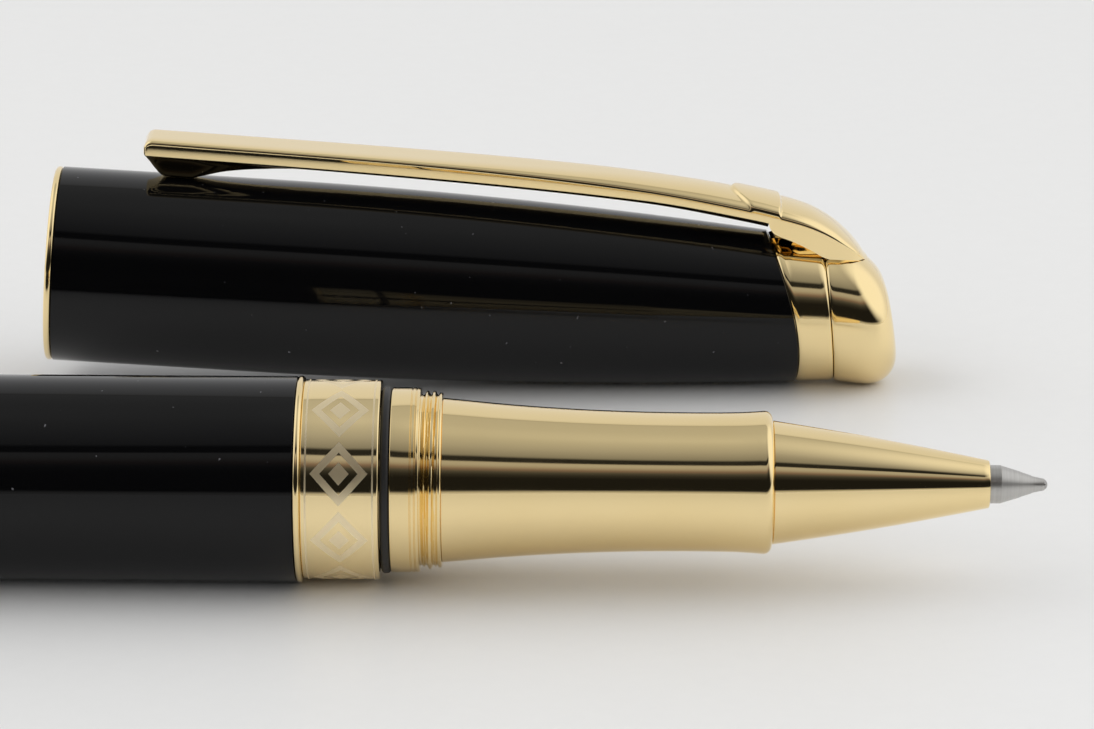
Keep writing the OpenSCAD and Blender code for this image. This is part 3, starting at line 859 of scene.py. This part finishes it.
@dataclass
class Refill:
    """The steel writing tip and its ball. The rest of the refill stays as the part has it."""

    spigot_back: float = 27.96
    spigot_radius: float = 0.95
    neck_end: float = 30.96
    radius: float = 1.15
    taper_start: float = 37.09
    ball_at: float = 39.5
    ball_radius: float = 0.35
    feed_radius: float = 0.45
    feed_end: float = 37.69
    ink_hole: float = 0.12
    taper_steps: Profile = ((38.2, 0.78), (38.24, 0.75), (38.85, 0.55), (38.93, 0.50))

    def tip(self) -> bpy.types.Object:
        """Turns the tip with the fine steps of its taper and its crimped lip."""
        lip = self.ball_at + 0.14
        socket = self.ball_radius + 0.015
        inner = [
            (self.ball_at + socket * math.cos(math.radians(a)),
             socket * math.sin(math.radians(a)))
            for a in spread(67, 160, 8)
        ]
        return Bench.turned("turned_tip", [
            (self.spigot_back, self.feed_radius), (self.spigot_back, self.spigot_radius),
            (self.neck_end, self.spigot_radius), (self.neck_end, self.radius),
            (self.taper_start - 0.05, self.radius), (self.taper_start, self.radius - 0.03),
            *self.taper_steps, (lip - 0.1, self.ball_radius + 0.022), (lip, self.ball_radius),
            *inner, (self.feed_end, self.ink_hole), (self.feed_end, self.feed_radius),
        ], 128)

    def ball(self) -> bpy.types.Object:
        """Makes the writing ball."""
        Bench.clear()
        bpy.ops.mesh.primitive_uv_sphere_add(
            segments=48, ring_count=24, radius=self.ball_radius * MM, location=(0, 0, 0)
        )
        piece = bpy.context.active_object
        piece.name = piece.data.name = "carbide_ball"
        Bench.reshape(piece, lambda x, y, z: (x + self.ball_at, y, z))
        return piece

    def build(self) -> None:
        """Makes the refill's pieces and hands them to the frame."""
        finish_piece(self.tip(), "writing_tip", Body.REFILL, TIP_STEEL)
        finish_piece(self.ball(), "writing_ball", Body.BALL, CARBIDE)


@dataclass
class CapPlace:
    """Where the cap lies: it rests on its taper behind the pen."""

    origin: tuple[float, float, float] = (-24.0, 39.2, 2.0605)
    yaw: float = 1.4
    tilt: float = 3.5933
    roll: float = -2.0

    def matrix(self) -> Matrix:
        """Returns the matrix from the cap's own axes to the frame."""
        turn = (
            Matrix.Rotation(math.radians(self.yaw), 4, "Z")
            @ Matrix.Rotation(math.radians(self.tilt), 4, "Y")
            @ Matrix.Rotation(math.radians(self.roll), 4, "X")
        )
        return Matrix.Translation(Vector(self.origin) * MM) @ turn

    def put(self, piece: bpy.types.Object) -> bpy.types.Object:
        """Moves a piece drawn on the cap's own axes to where the cap lies."""
        piece.data.transform(self.matrix())
        return piece


@dataclass
class Cap:
    """The cap: lacquered tube, gold rim, gold head and gold crown."""

    place: CapPlace
    radius: float = 6.55
    length: float = 56.98
    wall: float = 0.6
    straight: float = 14.0
    bow: float = 860.0
    rim: float = 0.5
    head_at: float = 50.15
    seam_at: float = 52.6
    head_slant: float = 0.25
    head_curve: float = 0.03
    seam_slant: float = 0.155
    crown_slant: float = 0.22
    slant_from: float = 34.0
    crown_radius: float = 4.78
    crown_corner: float = 2.4
    screw_radius: float = 1.0
    head_bore: float = 3.6
    head_wall: float = 51.25
    spigot_back: float = 45.0
    screw_hole: float = 1.05
    screw_seat: float = 51.87
    screw_head_hole: float = 1.65
    screw_end: float = 55.0
    slot_low: tuple[float, float, float] = (47.6, -1.05, 0.0)
    slot_high: tuple[float, float, float] = (50.25, 1.05, 10.0)
    crown_bulge: float = 0.09
    crown_draw: float = 0.15

    def radius_at(self, x: float) -> float:
        """Returns the cap's outer radius at x."""
        return self.radius - max(0.0, x - self.straight) ** 2 / self.bow

    def lean_at(self, z: float) -> float:
        """Returns how far the swept edge between lacquer and gold lies back at z."""
        return self.head_slant * z + self.head_curve * z * z

    def shell(self) -> bpy.types.Object:
        """Turns the lacquered tube and sweeps its far edge."""
        rows = spread(self.straight, self.head_at - 0.05, 44)
        outer = [(x, self.radius_at(x)) for x in rows]
        inner = [(x, self.radius_at(x) - self.wall) for x in reversed(rows)]
        piece = Bench.turned("lacquered_cap", [
            (self.rim, self.radius - self.wall), (self.rim, self.radius - 0.05),
            (self.rim + 0.02, self.radius - 0.01), (self.rim + 0.06, self.radius), *outer,
            (self.head_at, self.radius_at(self.head_at) - 0.05),
            (self.head_at, self.radius_at(self.head_at) - self.wall), *inner,
        ], 192)

        def slant(x: float, y: float, z: float) -> tuple[float, float, float]:
            """Shifts the far end along x and keeps it on the cap's taper."""
            if x <= self.slant_from:
                return x, y, z
            share = (x - self.slant_from) / (self.head_at - self.slant_from)
            moved = x - self.lean_at(z) * share
            grown = self.radius_at(moved) / self.radius_at(x)
            return moved, y * grown, z * grown

        Bench.reshape(piece, slant)
        return self.place.put(piece)

    def mouth_rim(self) -> bpy.types.Object:
        """Turns the half-round gold rim at the mouth."""
        half = self.rim / 2
        bore = self.radius - self.wall
        return self.place.put(Bench.turned("mouth_rim", [
            (0.06, bore), (0, bore + 0.06), *arc(half, self.radius - half, half, 180, 0, 14),
            (self.rim, bore),
        ], 192))

    def head(self) -> bpy.types.Object:
        """Turns the gold head behind the seam, with its spigot and the clip's slot."""
        spigot = self.radius_at(self.head_at + 2) - self.wall - 0.02
        rows = spread(self.head_at + 0.42, self.seam_at - 0.2, 8)
        front = self.radius_at(self.head_at) - 0.03
        last = self.radius_at(self.seam_at) - 0.03
        piece = Bench.turned("gold_head", [
            (self.spigot_back, self.head_bore), (self.spigot_back, spigot),
            (self.head_at + 0.02, spigot),
            (self.head_at + 0.02, front - 0.14), (self.head_at + 0.06, front - 0.10),
            (self.head_at + 0.14, front - 0.065), (self.head_at + 0.24, front - 0.035),
            (self.head_at + 0.34, front - 0.018),
            *[(x, self.radius_at(x) - 0.03) for x in rows],
            (self.seam_at - 0.12, last - 0.015), (self.seam_at - 0.06, last - 0.05),
            (self.seam_at - 0.02, last - 0.11),
            (self.seam_at - 0.02, self.screw_hole), (self.screw_seat, self.screw_hole),
            (self.screw_seat, self.screw_head_hole), (self.head_wall, self.screw_head_hole),
            (self.head_wall, self.head_bore),
        ], 192)

        def slant(x: float, y: float, z: float) -> tuple[float, float, float]:
            """Slants the front edge steeply and the seam less."""
            share = max(0.0, (x - self.head_at) / (self.seam_at - self.head_at))
            lean = mix(self.lean_at(z), self.seam_slant * z, share)
            upright = self.spigot_back + 1
            moved = x - lean * ease((x - upright) / (self.head_at - upright))
            r = math.hypot(y, z)
            if r < spigot + 0.02 or x < self.head_at:
                return moved, y, z
            grown = (r + self.radius_at(moved) - self.radius_at(x)) / r
            return moved, y * grown, z * grown

        Bench.reshape(piece, slant)
        Bench.cut(piece, Bench.block("slot_tool", self.slot_low, self.slot_high))
        return self.place.put(piece)

    def crown(self) -> bpy.types.Object:
        """Turns the rounded crown and slants it, softer on the clip's side."""
        top = self.crown_radius
        bulge = top + self.crown_bulge
        corner = self.crown_corner
        centre = self.length - corner - 0.05
        piece = Bench.turned("gold_crown", [
            (self.screw_end, 0), (self.screw_end, self.screw_radius),
            (self.seam_at + 0.02, self.screw_radius),
            (self.seam_at + 0.02, top - 0.15), (self.seam_at + 0.05, top - 0.09),
            (self.seam_at + 0.12, top - 0.04), (self.seam_at + 0.24, top - 0.01),
            (self.seam_at + 0.4, top + 0.01), (53.5, top + 0.05), (54.1, bulge),
            *arc(centre, bulge - corner, corner, 90, 6, 24),
            (self.length - 0.03, 1.2), (self.length, 0),
        ], 192)

        def slant(x: float, y: float, z: float) -> tuple[float, float, float]:
            """Slants the piece and draws its clip side in towards the end."""
            share = (x - self.seam_at) / (self.length - self.seam_at)
            lean = mix(self.seam_slant, self.crown_slant, share)
            r = math.hypot(y, z)
            up = max(0.0, z / r) ** 2 if r > 0.01 else 0.0
            drawn = 1 - self.crown_draw * up * ease((x - 53.0) / 3.6)
            return x - z * lean, y * drawn, z * drawn

        Bench.reshape(piece, slant)
        return self.place.put(piece)

    def build(self) -> None:
        """Makes the cap's pieces and hands them to the frame."""
        finish_piece(self.shell(), "cap_shell", Body.CAP, LACQUER)
        finish_piece(self.mouth_rim(), "cap_rim", Body.CAP, GOLD)
        finish_piece(self.head(), "crown_base", Body.CAP, GOLD)
        finish_piece(self.crown(), "crown", Body.CAP, GOLD)


@dataclass
class Clip:
    """The gold clip: a crowned arm on a foot, a raised band, and a hood over the crown."""

    cap: Cap
    start: float = 5.95
    nose: float = 55.0
    hood_at: float = 48.0
    notch: float = 45.35
    notch_sweep: float = 1.35
    notch_end: float = 48.85
    band_rise: float = 0.22
    end_round: float = 0.22
    top_round: float = 0.62
    top_soft: tuple[float, float] = (5.5, 2.15)
    nose_from: float = 53.2
    leg_low: tuple[float, float, float] = (48.55, -0.9, -3.0)
    leg_high: tuple[float, float, float] = (49.95, 0.9, 6.8)
    leg_edge: float = 0.15
    top_ribs: int = 40
    under_ribs: int = 28
    top: Curve = field(default_factory=lambda: Curve(
        (5.8, 9.34), (22.4, 9.10), (36.0, 8.79), (42.7, 8.38), (45.4, 8.10), (48.8, 7.57),
        (50.7, 7.13), (52.3, 6.40), (53.6, 5.46), (54.45, 4.62), (54.85, 4.12), (55.0, 3.98),
    ))
    crease: Curve = field(default_factory=lambda: Curve(
        (5.8, 8.80), (22.4, 8.55), (39.4, 7.86), (46.9, 7.0), (48.9, 6.66), (50.2, 6.38),
        (51.4, 6.0), (52.7, 5.42), (54.2, 4.5), (54.8, 4.0), (55.0, 3.93),
    ))
    half: Curve = field(default_factory=lambda: Curve(
        (5.8, 1.95), (22.0, 2.15), (39.0, 2.5), (47.0, 2.75), (50.0, 2.9), (52.7, 2.75),
        (54.0, 2.25), (54.7, 1.35), (55.0, 0.35),
    ))
    facet: Curve = field(default_factory=lambda: Curve(
        (5.8, 0.56), (24.0, 0.52), (39.0, 0.42), (47.0, 0.34), (49.0, 0.32), (50.5, 0.42),
        (52.2, 0.33), (53.3, 0.06), (55.0, 0.02),
    ))
    belly: Curve = field(default_factory=lambda: Curve(
        (5.8, 0.30), (24.0, 0.45), (36.0, 0.52), (44.0, 0.66), (48.0, 0.72),
    ))
    skirt: Curve = field(default_factory=lambda: Curve(
        (48.0, 6.35), (48.15, 5.98), (48.45, 5.66), (49.9, 5.14), (51.1, 4.62), (51.9, 4.22),
        (52.6, 4.05), (53.3, 3.98), (54.0, 4.0), (54.6, 4.02), (55.0, 3.88),
    ))
    keel: Curve = field(default_factory=lambda: Curve(
        (5.9, 8.2), (6.25, 7.75), (7.4, 6.66), (9.1, 6.63), (9.9, 6.82), (11.2, 7.18),
        (13.2, 7.5), (16.0, 7.73), (20.0, 7.9), (25.0, 8.0),
    ))

    def crowned(self, x: float, t: float) -> tuple[float, float]:
        """Returns (y, z) on the crowned top at x, with t from 0 at +y to 1 at -y."""
        soft = mix(*self.top_soft, ease((x - 18) / 28))
        a = math.pi * t
        c, s = math.cos(a), max(0.0, math.sin(a))
        w, crease = self.half(x), self.crease(x)
        y = w * math.copysign(abs(c) ** (2 / soft), c)
        z = crease + (self.top(x) - crease) * s ** (2 / soft)
        swept = self.notch + self.notch_sweep * (y / w) ** 2
        front = ease((x - swept) / 0.3)
        back = ease((self.notch_end + 0.1 - x - 0.15 * (y / w) ** 2) / 0.2)
        z += self.band_rise * front * back * min(1.0, 6 * s)
        short = max(0.0, 1 - (x - self.start) / self.top_round)
        fallen = self.top_round * (1 - math.sqrt(max(0.0, 1 - short * short)))
        return y, max(crease, z - fallen)

    def underside(self, x: float, y: float, edge: float, half: float) -> float:
        """Returns the height of the underside at x and y.

        Args:
            x: Place along the cap.
            y: Place across the clip.
            edge: Height of the side's lower edge.
            half: Half width of the underside.

        Returns:
            The height above the cap's axis, in mm.
        """
        arch = math.sqrt(max(0.0, 1 - (y / half) ** 2))
        if x > self.hood_at:
            over = self.cap.crown_radius + 0.22
            seat = math.sqrt(over**2 - min(abs(y), over) ** 2)
            drawn = 0.24 * max(0.0, x - self.nose_from) ** 1.3
            inside = mix(edge, self.top(x) - 0.95, arch)
            return min(max(inside, seat - drawn), self.crease(x) - 0.03)
        low = edge - self.belly(x) * arch
        narrow = 1 - ease((abs(y) - 0.85) / 0.75)
        return low + min(0.0, self.keel(x) - low) * narrow

    def section(self, x: float) -> list[tuple[float, float, float]]:
        """Returns one closed cross-section of the clip at x."""
        over = [self.crowned(x, i / self.top_ribs) for i in range(self.top_ribs + 1)]
        w, crease = self.half(x), self.crease(x)
        ledge = crease - self.facet(x)
        edge = min(self.skirt(x), ledge - 0.03) if x > self.hood_at else ledge - 0.01
        wide = max(0.25, w - 0.26 * self.facet(x))
        half = max(0.2, wide - 0.12 * (ledge - edge))
        inset = min(0.1, 0.3 * (ledge - edge))
        under = [(-wide, ledge), (inset - wide, ledge - 0.02)]
        half = max(0.2, half - inset)
        for i in range(self.under_ribs + 1):
            y = -half * math.cos(math.pi * i / self.under_ribs)
            end = i in (0, self.under_ribs)
            under.append((y, edge if end else self.underside(x, y, edge, half)))
        ring = over + under + [(wide - inset, ledge - 0.02), (wide, ledge)]
        shrink = max(0.0, 1 - (x - self.start) / self.end_round)
        drawn = self.end_round * (1 - math.sqrt(max(0.0, 1 - shrink**2)))
        middle = (self.top(x) + crease - self.facet(x)) / 2
        tall = max(0.1, self.top(x) - middle)
        return [
            (x, y * (1 - drawn / w), middle + (z - middle) * (1 - drawn / tall))
            for y, z in ring
        ]

    def arm(self) -> bpy.types.Object:
        """Skins the clip from its free end to its nose."""
        rounded = [self.start + self.end_round * (1 - math.cos(math.radians(a)))
                   for a in range(0, 91, 15)]
        stations = (
            rounded + spread(6.1, 12.0, 44)[1:] + spread(12.0, 45.2, 56)[1:]
            + spread(45.2, 47.97, 52)[1:] + [47.995, 48.005]
            + spread(48.02, 49.15, 24) + spread(49.15, 53.8, 30)[1:]
            + [self.nose - 1.2 * (1 - s) ** 2 for s in spread(0, 1, 22)][1:]
        )
        return self.cap.place.put(
            Bench.skinned("clip_spring_arm", [self.section(x) for x in stations])
        )

    def leg(self) -> bpy.types.Object:
        """Makes the flat leg that goes through the slot in the head."""
        return self.cap.place.put(
            Bench.block("clip_leg", self.leg_low, self.leg_high, self.leg_edge)
        )

    def build(self) -> None:
        """Makes the clip's pieces and hands them to the frame."""
        finish_piece(self.arm(), "clip_arm", Body.CLIP, GOLD)
        finish_piece(self.leg(), "clip_drawbar", Body.CLIP, GOLD)


class Insides:
    """Pieces that keep the part's own shape and only get a finish."""

    finishes: dict[str, Finish] = {
        "barrel_insert": BRASS, "tail_screw": STEEL, "spring_seat": BRASS,
        "refill_spring": STEEL, "refill_tube": CLEAR, "refill_plug": SMOKE,
        "refill_head": SMOKE, "ink_reservoir": FIBRE, "feed_rod": FIBRE,
        "cap_insert": BRASS, "inner_cap": SMOKE, "crown_screw": STEEL,
        "clip_keeper": STEEL, "clip_spring": STEEL,
    }

    def build(self, nodes: dict) -> None:
        """Dresses each of them.

        Args:
            nodes: The frame's nodes by name.
        """
        for name, finish in self.finishes.items():
            finish.dress(nodes[name])
            LOG.info("%s: dressed as %s", name, type(finish).__name__)


@dataclass
class Studio:
    """Floor, light and camera."""

    floor: float = -0.0062
    lens: float = 159.3
    eye: tuple[float, float, float] = (0.01221, -0.27485, 0.09275)
    ahead: tuple[float, float, float] = (-0.00817, 0.95488, -0.29688)
    roll: float = 0.28
    window_edge: float = 0.72
    window_core: float = 0.93
    window_level: float = 1.0
    window_way: tuple[float, float] = (0.12, 0.58)
    floor_width: float = 6.0
    front_to_rear: float = 0.12
    soft_power: float = 2.7
    fill_power: float = 2.2

    def lay_floor(self) -> None:
        """Lays the pale floor."""
        Bench.clear()
        bpy.ops.mesh.primitive_plane_add(size=1)
        floor = bpy.context.active_object
        floor.name = floor.data.name = "studio_floor"
        for vertex in floor.data.vertices:
            x, y = vertex.co.xy * self.floor_width
            vertex.co = Vector((x, y, self.floor))
        shader = Shader("studio_paper")
        grain = shader.noise(900.0, 2.0)
        shader.feed("Base Color", shader.blend(
            grain, (0.80, 0.80, 0.795, 1), (0.78, 0.78, 0.775, 1)
        ))
        shader.set(Roughness=0.42, IOR=1.4)
        floor.data.materials.append(shader.material)

    def set_world(self) -> None:
        """Sets the surroundings: a pale room with dark zones in front and soft windows."""
        world = bpy.data.worlds.new("studio_room")
        bpy.context.scene.world = world
        world.use_nodes = True
        tree = world.node_tree
        tree.nodes.clear()
        node = tree.nodes.new
        place = node("ShaderNodeTexCoord")
        split = node("ShaderNodeSeparateXYZ")
        tree.links.new(place.outputs["Generated"], split.inputs[0])
        height = node("ShaderNodeMath")
        height.operation = "ARCSINE"
        tree.links.new(split.outputs[2], height.inputs[0])

        def ramp(stops: Sequence[tuple[float, tuple]]) -> bpy.types.NodeSocket:
            """Returns a colour by elevation. Stops are (degrees, colour)."""
            scaled = node("ShaderNodeMapRange")
            scaled.inputs["From Min"].default_value = math.radians(-90)
            scaled.inputs["From Max"].default_value = math.radians(90)
            tree.links.new(height.outputs[0], scaled.inputs["Value"])
            made = node("ShaderNodeValToRGB")
            bar = made.color_ramp
            for i, (angle, colour) in enumerate(stops):
                at = (angle + 90) / 180
                stop = bar.elements[i] if i < 2 else bar.elements.new(at)
                stop.position = at
                stop.color = (*colour, 1)
            tree.links.new(scaled.outputs[0], made.inputs[0])
            return made.outputs[0]

        grey = [(angle, (level, level * 0.985, level * 0.95)) for angle, level in (
            (-90, 0.7), (1, 0.5), (4, 0.012), (22, 0.012), (27, 0.03), (31, 0.07),
        )]
        front = ramp(grey + [
            (35, (0.20, 0.150, 0.135)), (38, (0.32, 0.29, 0.27)), (41, (0.40, 0.39, 0.38)),
            (45, (0.42, 0.41, 0.40)), (46, (0.02, 0.02, 0.02)), (52, (0.02, 0.02, 0.02)),
            (55, (0.24, 0.24, 0.24)), (68, (0.38, 0.38, 0.38)), (80, (0.48, 0.48, 0.47)),
            (90, (0.57, 0.57, 0.56)),
        ])
        rear = ramp([
            (-90, (0.7, 0.7, 0.7)), (0, (0.78, 0.78, 0.78)), (30, (0.74, 0.74, 0.75)),
            (50, (0.72, 0.72, 0.72)), (54, (0.66, 0.66, 0.65)), (55.5, (0.38, 0.37, 0.35)),
            (57, (0.47, 0.47, 0.46)), (75, (0.50, 0.50, 0.49)), (90, (0.57, 0.57, 0.56)),
        ])
        side = node("ShaderNodeMapRange")
        side.inputs["From Min"].default_value = -self.front_to_rear
        side.inputs["From Max"].default_value = self.front_to_rear
        tree.links.new(split.outputs[1], side.inputs["Value"])
        both = node("ShaderNodeMix")
        both.data_type = "RGBA"
        tree.links.new(side.outputs[0], both.inputs[0])
        tree.links.new(front, both.inputs[6])
        tree.links.new(rear, both.inputs[7])
        glow = node("ShaderNodeBackground")
        glow.inputs["Strength"].default_value = 1.0
        tree.links.new(self.add_windows(tree, both.outputs[2], place.outputs["Generated"]),
                       glow.inputs[0])
        out = node("ShaderNodeOutputWorld")
        tree.links.new(glow.outputs[0], out.inputs[0])

    def add_windows(self, tree: bpy.types.NodeTree, base: bpy.types.NodeSocket,
                    ahead: bpy.types.NodeSocket) -> bpy.types.NodeSocket:
        """Adds a soft bright window on each side of the room.

        Args:
            tree: The world's nodes.
            base: Colour of the room without the windows.
            ahead: Direction that is looked along.

        Returns:
            The room's colour with the windows.
        """
        for side in (-1, 1):
            facing = tree.nodes.new("ShaderNodeVectorMath")
            facing.operation = "DOT_PRODUCT"
            facing.inputs[1].default_value = Vector((side * 0.80, *self.window_way)).normalized()
            tree.links.new(ahead, facing.inputs[0])
            soft = tree.nodes.new("ShaderNodeMapRange")
            soft.interpolation_type = "SMOOTHSTEP"
            soft.inputs["From Min"].default_value = self.window_edge
            soft.inputs["From Max"].default_value = self.window_core
            tree.links.new(facing.outputs["Value"], soft.inputs["Value"])
            lit = tree.nodes.new("ShaderNodeMix")
            lit.data_type = "RGBA"
            lit.inputs[7].default_value = (self.window_level,) * 3 + (1,)
            tree.links.new(soft.outputs[0], lit.inputs[0])
            tree.links.new(base, lit.inputs[6])
            base = lit.outputs[2]
        return base

    def hang_light(self, name: str, place: Sequence[float], aim: Sequence[float],
                   size: Sequence[float], power: float) -> None:
        """Hangs a rectangular soft light that lights the scene but isn't mirrored in it.

        Args:
            name: Name of the light.
            place: Where it hangs, in metres.
            aim: The point that it faces, in metres.
            size: Width and height in metres.
            power: Power in watts.
        """
        lamp = bpy.data.lights.new(name, "AREA")
        lamp.shape = "RECTANGLE"
        lamp.size, lamp.size_y = size
        lamp.energy = power
        holder = bpy.data.objects.new(name, lamp)
        holder.location = place
        holder.visible_glossy = False
        aimed = Vector(aim) - Vector(place)
        holder.rotation_euler = aimed.to_track_quat("-Z", "Y").to_euler()
        bpy.context.scene.collection.objects.link(holder)

    def set_camera(self) -> None:
        """Sets the camera in front of the pen, a little above it."""
        lens = bpy.data.cameras.new("eye")
        lens.lens = self.lens
        lens.sensor_width = 36
        lens.clip_start = 0.01
        lens.clip_end = 20
        camera = bpy.data.objects.new("eye", lens)
        ahead = Vector(self.ahead).normalized()
        right = ahead.cross(Vector((0, 0, 1))).normalized()
        up = right.cross(ahead)
        lean = math.radians(self.roll)
        across = right * math.cos(lean) + up * math.sin(lean)
        above = up * math.cos(lean) - right * math.sin(lean)
        camera.matrix_world = Matrix((
            (across.x, above.x, -ahead.x, self.eye[0]),
            (across.y, above.y, -ahead.y, self.eye[1]),
            (across.z, above.z, -ahead.z, self.eye[2]),
            (0, 0, 0, 1),
        ))
        bpy.context.scene.collection.objects.link(camera)
        bpy.context.scene.camera = camera

    def build(self) -> None:
        """Sets up the whole studio."""
        scene = bpy.context.scene
        scene.view_settings.view_transform = "Standard"
        scene.view_settings.look = "None"
        self.lay_floor()
        self.set_world()
        for name, side in (("left", -1), ("right", 1)):
            self.hang_light(
                f"{name}_soft", (side * 0.75, 0.1, 0.55), (0, 0.02, 0), (1.0, 0.9),
                self.soft_power,
            )
            self.hang_light(
                f"{name}_fill", (side * 0.6, -0.7, 0.5), (0, -0.05, 0), (0.9, 0.7),
                self.fill_power,
            )
        self.set_camera()


def main() -> None:
    """Loads the part, builds each sub-assembly round it and sets up the studio."""
    logging.basicConfig(level=logging.INFO, format="%(name)s %(message)s")
    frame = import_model()
    Insides().build(frame["nodes"])
    Barrel().build()
    Section().build()
    Refill().build()
    cap = Cap(CapPlace())
    cap.build()
    Clip(cap).build()
    Studio().build()


if __name__ == "__main__":
    main()
